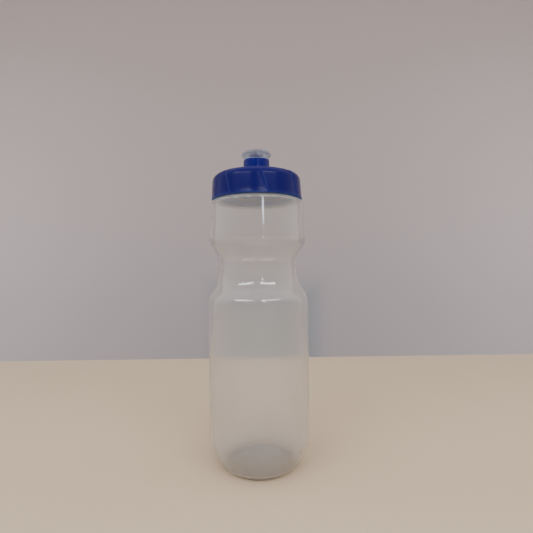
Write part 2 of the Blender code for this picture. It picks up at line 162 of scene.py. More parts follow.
class CapSizes(bpy.types.PropertyGroup):
    """Sizes of the screw cap with its valve stem."""

    foot_radius: length("Foot radius", "Radius of the lower edge", 33.3 * MM)
    rim_radius: length("Rim radius", "Radius where the side would meet the deck", 32.2 * MM)
    rim_fillet: length("Rim fillet", "Rounding between side and deck", 5.3 * MM)
    rim_height: length("Rim height", "Height where the side would meet the deck", 210.3 * MM)
    deck_height: length("Deck height", "Top of the domed deck", 211.2 * MM)
    deck_thickness: length("Deck thickness", "Thickness of the deck", 2.2 * MM)
    bore: length("Bore", "Inner radius of the skirt, without its thread", 30.5 * MM)
    thread_height: length("Thread height", "Where the cap's thread starts", 194.0 * MM)
    thread_turns: FloatProperty(name="Thread turns", description="Turns of the cap's thread", default=1.0)
    keeper_radius: length("Keeper radius", "Outer radius of the ring that holds the seal", 26.4 * MM)
    keeper_wall: length("Keeper wall", "Thickness of that ring", 1.2 * MM)
    keeper_depth: length("Keeper depth", "How far it hangs below the deck", 1.6 * MM)
    panels: IntProperty(name="Grip panels", description="Leaning panels round the side", default=8, min=1)
    grip_step: length("Grip step", "Height of the step between two panels", 0.5 * MM)
    grip_start: angle("Grip start", "Azimuth of the first step at the rim, from the +X axis", -85.4)
    grip_lean: angle("Grip lean", "How far a step leans from upright", 16.7)
    grip_fade: length("Grip fade", "Height over which the steps run out at the lower edge", 2.6 * MM)
    stem_radius: length("Stem radius", "Outer radius of the valve stem", 6.9 * MM)
    stem_bore: length("Stem bore", "Inner radius of the valve stem", 5.2 * MM)
    stem_top: length("Stem top", "Height of the valve stem", 219.9 * MM)
    bead: length("Stem bead", "How far the stop bead stands off the stem", 0.6 * MM)
    bead_height: length("Bead height", "Height of the stop bead's full width", 1.3 * MM)
    pin_radius: length("Pin radius", "Radius of the sealing pin", 2.7 * MM)
    webs: IntProperty(name="Webs", description="Webs that carry the pin", default=3, min=2)
    web_thickness: length("Web thickness", "Thickness of a web", 1.2 * MM)
    web_height: length("Web height", "Height of a web", 2.7 * MM)
    web_turn: angle("Web turn", "Azimuth of the first web", 15.6)


class SpoutSizes(bpy.types.PropertyGroup):
    """Sizes of the push-pull barrel, its soft mouthpiece and the seal."""

    radius: length("Barrel radius", "Outer radius of the barrel at its top", 9.6 * MM)
    draft: length("Barrel draft", "How much wider the barrel is at its foot", 0.15 * MM)
    shelf: length("Shelf height", "Top of the barrel, which the mouthpiece stands on", 221.9 * MM)
    bore: length("Barrel bore", "Radius that slides over the stem's bead", 7.8 * MM)
    lip_radius: length("Lip radius", "Radius of the lip that stops at the bead", 7.2 * MM)
    lip_height: length("Lip height", "Height of that lip", 1.5 * MM)
    ceiling: length("Ceiling height", "Top of the barrel's bore", 220.2 * MM)
    nozzle_radius: length("Nozzle radius", "Outer radius of the nozzle inside the mouthpiece", 6.5 * MM)
    cavity: length("Cavity radius", "Inner radius of the nozzle", 5.0 * MM)
    orifice: length("Orifice radius", "Radius of the hole that the pin shuts", 3.0 * MM)
    orifice_length: length("Orifice length", "Length of that hole", 2.8 * MM)
    mouth_neck: length("Mouthpiece neck", "Radius of the mouthpiece at its foot", 8.95 * MM)
    mouth_rim: length("Mouthpiece rim", "Widest radius before its rounding", MOUTH_HIGH.x + 0.15 * MM)
    rim_drop: length("Rim drop", "From the mouthpiece's top down to its widest place", 1.5 * MM)
    lip_roll: length("Lip roll", "How much narrower the mouthpiece is at its top", 1.0 * MM)
    lip_width: length("Lip width", "Width of the mouthpiece's flat top", 1.2 * MM)
    mouth_bore: length("Mouthpiece bore", "Radius of the hole in the mouthpiece", 4.2 * MM)
    socket: length("Socket radius", "Radius of the mouthpiece round the nozzle", 6.8 * MM)
    floor: length("Mouthpiece floor", "Thickness over the nozzle", 0.8 * MM)
    seal_inner: length("Seal inner radius", "Inner radius of the seal", 26.7 * MM)
    seal_bead: length("Seal bead", "Height of the seal's two pressing beads", 0.12 * MM)


class Finishes(bpy.types.PropertyGroup):
    """Colours and gloss of the plastics and the stage."""

    milk: colour("Bottle milk", "Haze of the bottle's plastic", "#F5F4F4")
    milk_thin: colour("Bottle milk, thin", "Haze where the wall is drawn thin", "#FBFAFA")
    clarity: share("Bottle clarity", "Share of the light that goes straight through a surface", 0.88)
    cap_blue: colour("Cap blue", "Pigment of the cap", "#120F5A")
    cap_blue_pale: colour("Cap blue, pale", "Pigment where it is drawn out by the flow", "#141262")
    # painted light: a lighter blue painted inside the cap's skirt and under its foot, standing in for light
    # that comes through the blue plastic
    cap_painted_glow: colour("Cap glow", "Lighter inside of the cap, in place of light through the plastic", "#2F68DC")
    cap_rub: colour("Rubbed blue", "Paler blue of edges that are rubbed", "#38459A")
    cap_roughness: share("Cap roughness", "Roughness of the cap's outside", 0.21)
    cap_shine: share("Cap shine", "Specular level of the cap", 0.11)
    pin_roughness: share("Pin roughness", "Roughness of the sealing pin", 0.34)
    spout_blue: colour("Spout blue", "Pigment of the barrel", "#15146C")
    spout_roughness: share("Spout roughness", "Roughness of the barrel", 0.13)
    spout_shine: share("Spout shine", "Specular level of the barrel", 0.2)
    mouth_milk: colour("Mouthpiece milk", "Haze of the soft mouthpiece", "#CED6E7")
    mouth_clarity: share("Mouthpiece clarity", "Share of the light that goes through the mouthpiece", 0.93)
    mouth_roughness: share("Mouthpiece roughness", "Roughness of the mouthpiece", 0.28)
    seal_milk: colour("Seal milk", "Haze of the seal", "#D8D8D6")
    seal_clarity: share("Seal clarity", "Share of the light that goes through the seal", 0.5)
    seal_roughness: share("Seal roughness", "Roughness of the seal", 0.4)
    floor: colour("Floor", "Pale warm floor", "#E0C8AB")
    # painted shade: a darker, cool tone painted low in the backdrop's middle, behind the bottle, as if less
    # light fell there than at its sides
    backdrop_painted_shade: colour("Backdrop, low", "Cool tone low in the backdrop's middle", "#A2B2BC")
    backdrop_high: colour("Backdrop, high", "Neutral tone of the rest of the backdrop", "#DED1D4")
    room: colour("Room light", "Colour of the light from all round", "#F2F0EE")


class StageSizes(bpy.types.PropertyGroup):
    """Places of the floor, backdrop, lamps and camera."""

    eye_height: length("Eye height", "Height of the camera", 143.57 * MM)
    eye_distance: length("Eye distance", "From the bottle's axis to the camera", 273.96 * MM)
    eye_side: length("Eye side", "How far right of the axis the camera stands", 6.4 * MM)
    eye_roll: angle("Eye roll", "How far the camera is rolled", 0.79)
    lens: FloatProperty(name="Lens", description="Focal length", default=25, subtype="DISTANCE_CAMERA")
    floor_back: length("Floor back", "From the axis to the floor's far edge", 310 * MM)
    floor_reach: length("Floor reach", "How far the floor goes to the other three sides", 3.0)
    backdrop_distance: length("Backdrop distance", "From the axis to the backdrop", 1.1)
    lamp_distance: length("Lamp distance", "From the bottle to the lamps", 0.9)
    room_light: share("Room light", "Radiance of the light from above and behind", 1.6)
    front_light: share("Front light", "Radiance of the light from the camera's side", 0.17)
    panel_light: share("Panel light", "Radiance of the two wide panels", 14.0)
    strip_light: share("Strip light", "Radiance of the narrow upright strip", 19.0)
    wash_light: share("Wash light", "Radiance of the two lamps that wash the backdrop", 1.3)


def rounded(corners, closed=False, arc_step=ARC_STEP):
    """The outline through corners (radius, height, fillet), with an arc for each fillet."""
    points = []
    count = len(corners)
    for index, (radius, height, fillet) in enumerate(corners):
        here = Vector((radius, height))
        if fillet == 0 or (not closed and index in (0, count - 1)):
            points.append(here)
            continue
        back = Vector(corners[index - 1][:2]) - here
        ahead = Vector(corners[(index + 1) % count][:2]) - here
        half_angle = back.angle(ahead) / 2
        if half_angle > NEARLY_STRAIGHT:
            points.append(here)
            continue
        reach = min(fillet / math.tan(half_angle), FILLET_SHARE * min(back.length, ahead.length))
        bulge = reach * math.tan(half_angle)
        centre = here + (back.normalized() + ahead.normalized()).normalized() * bulge / math.sin(half_angle)
        start = here + back.normalized() * reach - centre
        turn = start.angle_signed(here + ahead.normalized() * reach - centre)
        steps = max(2, round(abs(turn) / arc_step))
        points += [centre + Matrix.Rotation(-turn * step / steps, 2) @ start for step in range(steps + 1)]
    return points


def inset(corners, distance):
    """The same corners moved to the left of their direction of travel, with concentric fillets."""
    moved = []
    last = len(corners) - 1
    for index, (radius, height, fillet) in enumerate(corners):
        here = Vector((radius, height))
        before = Vector(corners[max(index - 1, 0)][:2])
        after = Vector(corners[min(index + 1, last)][:2])
        into = (here - before).normalized() if index > 0 else (after - here).normalized()
        out = (after - here).normalized() if index < last else into
        normal = (Vector((-into.y, into.x)) + Vector((-out.y, out.x))).normalized()
        place = here + normal * distance / normal.dot(Vector((-out.y, out.x)))
        turns_left = into.x * out.y - into.y * out.x > 0
        concentric = max(fillet - distance, SMALLEST_FILLET) if turns_left else fillet + distance
        moved.append((place.x, place.y, concentric))
    return moved


def divided(points, longest):
    """The outline with its long stretches divided. longest(middle) is the most that one may measure."""
    finer = [points[0]]
    for here, there in zip(points, points[1:]):
        pieces = math.ceil((there - here).length / longest((here + there) / 2))
        finer += [here.lerp(there, piece / pieces) for piece in range(1, pieces + 1)]
    return finer


def even_columns(count=COLUMNS):
    """Azimuths spread evenly round the axis."""
    return [math.tau * column / count for column in range(count)]


def with_seam_columns(columns, azimuths, half_width):
    """The columns with finer ones beside each of these azimuths, to shape a narrow ridge there."""
    extra = [azimuth + half_width * step / 3 for azimuth in azimuths for step in range(-3, 4)]
    far = [
        column
        for column in columns
        if all(abs(math.remainder(column - azimuth, math.tau)) > half_width * 1.3 for azimuth in azimuths)
    ]
    return sorted(azimuth % math.tau for azimuth in far + extra)


def turned(name, points, columns=None, closed=True, shape=None):
    """A mesh object turned from an outline. shape(azimuth, point) returns the place to use instead."""
    bm = bmesh.new()
    grid = []
    for azimuth in columns or even_columns():
        column = []
        for point in points:
            if point.x < MERGE_DISTANCE:
                place = Vector((0, 0, point.y))
            else:
                turn, radius, height = shape(azimuth, point) if shape else (azimuth, point.x, point.y)
                place = Vector((radius * math.cos(turn), radius * math.sin(turn), height))
            column.append(bm.verts.new(place))
        grid.append(column)
    rows = len(points) if closed else len(points) - 1
    for here, there in zip(grid, grid[1:] + grid[:1]):
        for row in range(rows):
            after = (row + 1) % len(points)
            corners = [here[row], there[row], there[after], here[after]]
            if points[row].x < MERGE_DISTANCE:
                corners.pop(1)
            elif points[after].x < MERGE_DISTANCE:
                corners.pop(2)
            bm.faces.new(corners)
    return piece_from(bm, name)


def piece_from(bm, name):
    """An object in the scene from a built mesh, shaded smooth except at its sharp edges."""
    bmesh.ops.remove_doubles(bm, verts=bm.verts, dist=MERGE_DISTANCE)
    bmesh.ops.recalc_face_normals(bm, faces=bm.faces)
    mesh = bpy.data.meshes.new(name)
    bm.to_mesh(mesh)
    bm.free()
    mesh.shade_smooth()
    mesh.set_sharp_from_angle(angle=SHARP_ANGLE)
    piece = bpy.data.objects.new(name, mesh)
    bpy.context.scene.collection.objects.link(piece)
    return piece


def smooth(value):
    """0 below 0, 1 above 1, and an S-curve between."""
    value = min(1, max(0, value))
    return value * value * (3 - 2 * value)


def thread_rise(azimuth, height, start_height, turns):
    """How much of a thread's full depth stands at this place: 1 on its crest, 0 beside it."""
    sizes = bpy.context.scene.bottle_sizes
    flank = (sizes.thread_root - sizes.thread_crest) / 2
    most = 0
    for whole in range(math.ceil(turns) + 1):
        turn = (azimuth % math.tau) / math.tau + whole
        if turn > turns:
            continue
        off = abs(height - start_height - sizes.thread_lead * turn)
        ends = smooth(min(turn, turns - turn) / THREAD_RUNOUT)
        most = max(most, ends * smooth((sizes.thread_root / 2 - off) / flank))
    return most


def add_node(tree, kind, inputs=None, **settings):
    """Adds a node. An input is a value, or another node's output to link to it."""
    node = tree.nodes.new(kind)
    for setting, value in settings.items():
        setattr(node, setting, value)
    for name, value in (inputs or {}).items():
        if isinstance(value, bpy.types.NodeSocket):
            tree.links.new(value, node.inputs[name])
        else:
            node.inputs[name].default_value = value
    return node


def start_material(name, **constants):
    """A new material with its tree, its shader, and coordinates in metres that move with the piece."""
    material = bpy.data.materials.new(name)
    material.use_nodes = True
    tree = material.node_tree
    shader = tree.nodes["Principled BSDF"]
    for socket, value in constants.items():
        shader.inputs[socket.replace("_", " ")].default_value = value
    place = add_node(tree, "ShaderNodeTexCoord").outputs["Object"]
    return material, tree, shader, place


def opaque(rgb):
    """A colour with full alpha, as a colour socket takes it."""
    return (*rgb, 1.0)


def clouded(tree, place, size, detail, tone, other):
    """A colour that drifts from one tone to the other in clouds of a real size."""
    clouds = add_node(tree, "ShaderNodeTexNoise", {"Vector": place, "Scale": 1 / size, "Detail": detail})
    mix = {0: clouds.outputs["Fac"], 6: opaque(tone), 7: opaque(other)}
    return add_node(tree, "ShaderNodeMix", mix, data_type="RGBA").outputs[2]


def grained(tree, place, size, detail, glossiest, dullest, within=WHOLE_RANGE):
    """A relief with grains of a real size, and a roughness that follows it between two values."""
    grain = add_node(tree, "ShaderNodeTexNoise", {"Vector": place, "Scale": 1 / size, "Detail": detail})
    follow = {
        "Value": grain.outputs["Fac"],
        "From Min": within[0],
        "From Max": within[1],
        "To Min": glossiest,
        "To Max": dullest,
    }
    return grain.outputs["Fac"], add_node(tree, "ShaderNodeMapRange", follow).outputs[0]


def finish_surface(tree, shader, tone, roughness, relief, relief_depth):
    """Links a colour, a roughness and a relief in metres to the shader."""
    tree.links.new(tone, shader.inputs["Base Color"])
    tree.links.new(roughness, shader.inputs["Roughness"])
    bump = add_node(tree, "ShaderNodeBump", {"Height": relief, "Distance": relief_depth, "Strength": 1.0})
    tree.links.new(bump.outputs["Normal"], shader.inputs["Normal"])


def blown_ldpe():
    """Blow-moulded low-density polyethylene: milky and see-through, waxy gloss, faint upright streaks."""
    finishes = bpy.context.scene.bottle_finishes
    material, tree, shader, place = start_material(
        "blow_moulded_ldpe", IOR=1.51, Transmission_Weight=finishes.clarity, Metallic=0.0
    )
    streak_width, streak_length = 5 * MM, 60 * MM
    per_streak = (1 / streak_width, 1 / streak_width, 1 / streak_length)
    stretched = add_node(tree, "ShaderNodeMapping", {"Vector": place, "Scale": per_streak}).outputs[0]
    # the stretched place counts in streaks, so their size in it is 1
    tone = clouded(tree, stretched, 1.0, 3.0, finishes.milk, finishes.milk_thin)
    peel_size = 2.5 * MM
    peel_depth = 0.004 * MM
    peel, gloss = grained(tree, place, peel_size, 2.0, glossiest=0.07, dullest=0.11, within=NOISE_RANGE)
    # the foot is taken to be duller than the side, which softens the dish that is seen through it
    foot_low, foot_high = 4 * MM, 16 * MM
    foot_roughness = 0.24
    height = add_node(tree, "ShaderNodeSeparateXYZ", {"Vector": place}).outputs["Z"]
    fade = {
        "Value": height,
        "From Min": foot_low,
        "From Max": foot_high,
        "To Min": foot_roughness,
        "To Max": 0.0,
    }
    foot = add_node(tree, "ShaderNodeMapRange", fade, interpolation_type="SMOOTHSTEP")
    dull = add_node(tree, "ShaderNodeMath", {0: gloss, 1: foot.outputs[0]}, operation="MAXIMUM")
    finish_surface(tree, shader, tone, dull.outputs[0], peel, peel_depth)
    return material


def moulded_polypropylene(name, blue, blue_pale, roughness, shine, glow=None):
    """Injection-moulded polypropylene: deep even blue, soft semi-gloss, fine grain, paler rubbed edges, and,
    where a glow colour is given, painted light: a lighter blue in place of light through the plastic.
    """
    finishes = bpy.context.scene.bottle_finishes
    material, tree, shader, place = start_material(name, IOR=1.49, Metallic=0.0, Specular_IOR_Level=shine)
    flow_size = 14 * MM
    pigment = clouded(tree, place, flow_size, 2.0, blue, blue_pale)
    # painted light: where the 'inside' attribute says, the pigment gives way to the glow colour, a lighter
    # blue painted in place of light through the plastic
    inside = add_node(tree, "ShaderNodeAttribute", attribute_name="inside").outputs["Fac"]
    lit = {0: inside, 6: pigment, 7: opaque(glow or blue)}
    painted_light_through = add_node(tree, "ShaderNodeMix", lit, data_type="RGBA").outputs[2]
    rub_size = 1.2 * MM
    rubs = add_node(tree, "ShaderNodeTexNoise", {"Vector": place, "Scale": 1 / rub_size, "Detail": 4.0})
    edges = add_node(tree, "ShaderNodeAttribute", attribute_name="edge_wear").outputs["Fac"]
    rubbed = {0: edges, 1: rubs.outputs["Fac"]}
    worn = add_node(tree, "ShaderNodeMath", rubbed, operation="MULTIPLY", use_clamp=True).outputs[0]
    last = {0: worn, 6: painted_light_through, 7: opaque(finishes.cap_rub)}
    tone = add_node(tree, "ShaderNodeMix", last, data_type="RGBA").outputs[2]
    grain_size = 0.6 * MM  # spark-eroded moulds leave about 0.2 mm, which would not show
    grain_depth = 0.006 * MM
    glossiest, dullest = roughness - 0.03, roughness + 0.05
    grain, gloss = grained(tree, place, grain_size, 1.0, glossiest, dullest, within=NOISE_RANGE)
    finish_surface(tree, shader, tone, gloss, grain, grain_depth)
    return material


def moulded_elastomer(name, milk, clarity, roughness):
    """Soft moulded elastomer or silicone: cloudy and satin, with a fine skin."""
    material, tree, shader, place = start_material(
        name, IOR=1.47, Transmission_Weight=clarity, Metallic=0.0
    )
    cloud_size = 3 * MM
    cloud_gain = 1.12
    tone = clouded(tree, place, cloud_size, 3.0, milk, [min(1, level * cloud_gain) for level in milk])
    skin_size = 0.5 * MM
    skin_depth = 0.01 * MM
    glossiest, dullest = roughness - 0.05, roughness + 0.08
    skin, gloss = grained(tree, place, skin_size, 1.0, glossiest, dullest)
    finish_surface(tree, shader, tone, gloss, skin, skin_depth)
    return material


def pale_laminate():
    """Pale melamine laminate: warm, matt, with the faintest cloud in its print."""
    finishes = bpy.context.scene.bottle_finishes
    material, tree, shader, place = start_material("pale_laminate", IOR=1.5)
    cloud_size = 80 * MM
    cloud_shade = 0.96
    darker = [level * cloud_shade for level in finishes.floor]
    tone = clouded(tree, place, cloud_size, 4.0, darker, finishes.floor)
    grain_size = 1 * MM
    grain_depth = 0.01 * MM
    grain, gloss = grained(tree, place, grain_size, 2.0, glossiest=0.5, dullest=0.6)
    finish_surface(tree, shader, tone, gloss, grain, grain_depth)
    return material


def wall_paint():
    """Matt wall paint on a backdrop: painted shade, darker and cool low in its middle, neutral elsewhere, with
    a faint stipple.
    """
    finishes = bpy.context.scene.bottle_finishes
    material, tree, shader, place = start_material("matt_wall_paint", IOR=1.45)
    # painted shade: low in its middle the paint is darker and cooler than at its sides, standing in for the
    # light that falls on the backdrop from both sides
    cool_below, neutral_above = -60 * MM, 140 * MM
    cool_within, neutral_beyond = 80 * MM, 260 * MM
    parts = add_node(tree, "ShaderNodeSeparateXYZ", {"Vector": place})
    rise = add_node(
        tree,
        "ShaderNodeMapRange",
        {"Value": parts.outputs["Z"], "From Min": cool_below, "From Max": neutral_above},
        interpolation_type="SMOOTHSTEP",
    )
    aside = add_node(tree, "ShaderNodeMath", {0: parts.outputs["X"]}, operation="ABSOLUTE")
    spread = add_node(
        tree,
        "ShaderNodeMapRange",
        {"Value": aside.outputs[0], "From Min": cool_within, "From Max": neutral_beyond},
        interpolation_type="SMOOTHSTEP",
    )
    either = {0: rise.outputs[0], 1: spread.outputs[0]}
    neutral = add_node(tree, "ShaderNodeMath", either, operation="MAXIMUM").outputs[0]
    tones = {0: neutral, 6: opaque(finishes.backdrop_painted_shade), 7: opaque(finishes.backdrop_high)}
    tone = add_node(tree, "ShaderNodeMix", tones, data_type="RGBA").outputs[2]
    stipple_size = 3 * MM
    stipple_depth = 0.05 * MM
    stipple, gloss = grained(tree, place, stipple_size, 2.0, glossiest=0.8, dullest=0.9)
    finish_surface(tree, shader, tone, gloss, stipple, stipple_depth)
    return material


def dress(piece, body, slot, material, *nodes):
    """Gives a piece its material and its body, and hides the CAD nodes that it stands for. The slot is not
    used.
    """
    piece.data.materials.append(material)
    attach(piece, body)
    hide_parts(*nodes)


class BlowBottle(bpy.types.Operator):
    """Blow the milky bottle, with its foot, grip waist, neck and thread"""

    bl_idname = "squeeze.blow_bottle"
    bl_label = "Bottle"

    def execute(self, context):
        sizes = context.scene.bottle_sizes
        dish_drop = 0.4 * MM
        upper_corner = (sizes.upper_radius, sizes.upper_height, 10.2 * MM)
        upper_inner_fillet = 2.5 * MM
        outer = [
            (0, sizes.push_up, 0),
            (sizes.foot_inner_radius - sizes.dish_margin, sizes.push_up - dish_drop, 6 * MM),
            (sizes.foot_inner_radius, 0, 0.8 * MM),
            (sizes.foot_radius, 0, 1.6 * MM),
            (sizes.heel_radius, sizes.heel_height, 4.6 * MM),
            (sizes.body_radius - sizes.body_draft, sizes.chamfer_height, 22 * MM),
            (sizes.body_radius, sizes.body_height, 9 * MM),
            (sizes.waist_low_radius, sizes.waist_low_height, 19 * MM),
            (sizes.waist_radius, sizes.waist_top_height, 13.3 * MM),
            upper_corner,
            (sizes.shoulder_radius, sizes.shoulder_height, 3 * MM),
            (sizes.neck_radius, sizes.shoulder_height, 0.4 * MM),
        ]
        inner = inset(outer, sizes.wall)
        inner[0] = (0, inner[0][1], 0)
        inner[-1] = (sizes.neck_bore, sizes.shoulder_height - sizes.wall, 1 * MM)
        upper = outer.index(upper_corner)
        inner[upper] = (*inner[upper][:2], upper_inner_fillet)
        neck = [(radius, sizes.neck_top, 0.4 * MM) for radius in (sizes.neck_radius, sizes.neck_bore)]
        corners = outer + neck + inner[::-1]

        off_corner = 1 * MM

        def longest(middle):
            over_shoulder = middle.y > sizes.shoulder_height + off_corner
            on_thread = over_shoulder and middle.x > sizes.neck_bore + off_corner
            return 0.3 * MM if on_thread else 4 * MM

        points = divided(rounded(corners), longest)
        inner_start = max(range(len(points)), key=lambda index: points[index].y)
        outside = {id(point) for point in points[: inner_start + 1]}
        seams = [sizes.seam_azimuth, sizes.seam_azimuth + math.pi]
        seam_reach = sizes.seam_width / sizes.body_radius
        columns = with_seam_columns(even_columns(), seams, seam_reach)
        waves_round = 1.6
        waves_per_metre = 22
        weld_depth = 3 * sizes.seam_height

        def shape(azimuth, point):
            """Lets the wall wander, and raises the seams, the thread and the weld under the foot on it."""
            radius, height = point.x, point.y
            side = sizes.heel_height < height < sizes.shoulder_height
            if side:
                round_place = (math.cos(azimuth) * waves_round, math.sin(azimuth) * waves_round)
                wander = noise.noise(Vector((*round_place, height * waves_per_metre)))
                radius -= sizes.waviness * (0.5 + 0.5 * wander)
            if id(point) in outside:
                off_seam = min(abs(math.remainder(azimuth - seam, math.tau)) for seam in seams) * point.x
                ridge = smooth(1 - off_seam / (sizes.seam_width / 2))
                if side:
                    radius += sizes.seam_height * ridge
                elif height > sizes.shoulder_height and point.x > sizes.neck_bore + off_corner:
                    rise = thread_rise(azimuth, height, sizes.thread_height, sizes.thread_turns)
                    radius += sizes.thread_depth * rise
                elif point.x < sizes.foot_inner_radius - off_corner:
                    off_weld = abs(math.sin(azimuth - sizes.seam_azimuth)) * point.x
                    height -= weld_depth * smooth(1 - off_weld / sizes.seam_width)
            return azimuth, radius, height

        bottle = turned("bottle_wall", points, columns, closed=False, shape=shape)
        dress(bottle, "bottle", "bottle", blown_ldpe(), "bottle_body")
        return {"FINISHED"}


class MouldCap(bpy.types.Operator):
    """Mould the blue screw cap, with its leaning grip steps, thread, seal keeper and valve stem"""

    bl_idname = "squeeze.mould_cap"
    bl_label = "Screw cap"

    def execute(self, context):
        sizes = context.scene.cap_sizes
        spout = context.scene.spout_sizes
        bottle = context.scene.bottle_sizes
        foot = CAP_LOW.z
        under = sizes.rim_height - sizes.deck_thickness
        dome = sizes.deck_height - sizes.rim_height
        bead_radius = sizes.stem_radius + sizes.bead
        bead_low = sizes.stem_top - sizes.bead_height
        keeper_inner = sizes.keeper_radius - sizes.keeper_wall
        dome_edge = spout.radius + 1.5 * MM
        foot_chamfer = 0.6 * MM
        corners = [
            (sizes.foot_radius, foot, 0.3 * MM),
            (sizes.rim_radius, sizes.rim_height, sizes.rim_fillet),
            (dome_edge, sizes.deck_height, 2 * MM),
            (sizes.stem_radius, sizes.deck_height, 0.3 * MM),
            (sizes.stem_radius, bead_low - sizes.bead, 0.3 * MM),
            (bead_radius, bead_low, 0.4 * MM),
            (bead_radius, sizes.stem_top - sizes.bead, 0.4 * MM),
            (sizes.stem_radius, sizes.stem_top, 0.2 * MM),
            (sizes.stem_bore, sizes.stem_top, 0.3 * MM),
            (sizes.stem_bore, under + dome, 0.4 * MM),
            (keeper_inner, under, 0.5 * MM),
            (keeper_inner, under - sizes.keeper_depth, 0.4 * MM),
            (sizes.keeper_radius, under - sizes.keeper_depth, 0.4 * MM),
            (sizes.keeper_radius, under, 0.3 * MM),
            (sizes.bore, under, 0.8 * MM),
            (sizes.bore, foot + foot_chamfer, 0.3 * MM),
            (sizes.bore + foot_chamfer, foot, 0.3 * MM),
        ]
        bore_slack = 0.1 * MM

        def longest(middle):
            in_bore = abs(middle.x - sizes.bore) < bore_slack
            return 0.35 * MM if in_bore else 1.5 * MM

        outline = rounded(corners, closed=True)
        points = divided(outline + outline[:1], longest)[:-1]
        span = math.tau / sizes.panels
        step_half = math.radians(0.55)
        fine = [step_half * step / 3 for step in range(-3, 4)]
        steps_between = 16
        columns = []
        for panel in range(sizes.panels):
            start = sizes.grip_start + panel * span
            coarse = [span * step / steps_between for step in range(1, steps_between)]
            columns += [start + offset for offset in fine + coarse]
        rise_full = sizes.rim_height - foot
        foot_shift = math.tan(sizes.grip_lean) * rise_full / sizes.foot_radius
        skirt_line = (sizes.bore + sizes.keeper_radius) / 2

        def grip(point):
            """How strong the grip step is at this row, and how far the row is turned by the lean."""
            if point.x < skirt_line:
                return 0, 0
            if point.y < under and point.x < sizes.bore + bore_slack:
                return 0, foot_shift
            rise = min(1, (point.y - foot) / rise_full)
            strength = smooth((point.y - foot) / sizes.grip_fade)
            if point.x < sizes.rim_radius:
                strength = smooth(1 - (sizes.rim_radius - point.x) / sizes.rim_fillet)
            return strength, foot_shift * (1 - rise)

        def shape(azimuth, point):
            """Sinks each panel gently from one step to the next, and raises the thread in the bore."""
            strength, shift = grip(point)
            turn = azimuth + shift
            along = ((azimuth - sizes.grip_start) % span) / span
            edge = step_half / span
            low = along
            if along >= 1 - edge:
                low = (1 - edge) * (1 - smooth((along - 1 + edge) / (2 * edge)))
            if along < edge:
                low = (1 - edge) * (1 - smooth((along + edge) / (2 * edge)))
            radius = point.x - sizes.grip_step * strength * max(low, 0)
            if abs(point.x - sizes.bore) < bore_slack and point.y < under:
                rise = thread_rise(turn, point.y, sizes.thread_height, sizes.thread_turns)
                radius -= bottle.thread_depth * rise
            return turn, radius, point.y

        skin = 0.2 * MM
        foot_skin = 0.12 * MM
        # painted light: under the cap's foot the lighter blue is painted at this share, lightening the shade
        # in the gap over the shoulder
        foot_painted_glow = 0.6

        def inside(place):
            """How much painted light is here: the lighter blue that stands in for light through the plastic,
            all of it inside the skirt, and less under its foot, where it lightens the shade of the gap.
            """
            if place.z < under + skin and math.hypot(place.x, place.y) < sizes.bore + skin:
                return 1
            return foot_painted_glow if place.z < foot + foot_skin else 0

        cap = turned("cap_moulding", points, columns, shape=shape)
        mark(cap, "edge_wear", wear_of_cap(sizes, span, foot_shift, rise_full, foot))
        mark(cap, "inside", inside)
        finishes = context.scene.bottle_finishes
        material = moulded_polypropylene(
            "moulded_blue_pp",
            finishes.cap_blue,
            finishes.cap_blue_pale,
            finishes.cap_roughness,
            finishes.cap_shine,
            glow=finishes.cap_painted_glow,
        )
        dress(cap, "cap", "cap", material, "screw_cap")
        return {"FINISHED"}


def wear_of_cap(sizes, span, foot_shift, rise_full, foot):
    """A function that says how worn the cap is at a place: along its steps and round its lower edge."""
    step_band = 0.9 * MM
    foot_band = 0.8 * MM
    skirt_inside = sizes.bore + 1 * MM
    most_wear = 0.45

    def wear(place):
        radius = math.hypot(place.x, place.y)
        if radius < skirt_inside:
            return 0
        turn = math.atan2(place.y, place.x) - foot_shift * (1 - (place.z - foot) / rise_full)
        past = (turn - sizes.grip_start) % span
        off_step = min(past, span - past) * radius
        on_step = smooth(1 - off_step / step_band)
        on_foot = smooth(1 - (place.z - foot) / foot_band)
        return most_wear * max(on_step, on_foot)

    return wear


def mark(piece, name, amount):
    """Stores an amount at each vertex under a name, for the material to read."""
    marks = piece.data.attributes.new(name, "FLOAT", "POINT")
    marks.data.foreach_set("value", [float(amount(vertex.co)) for vertex in piece.data.vertices])


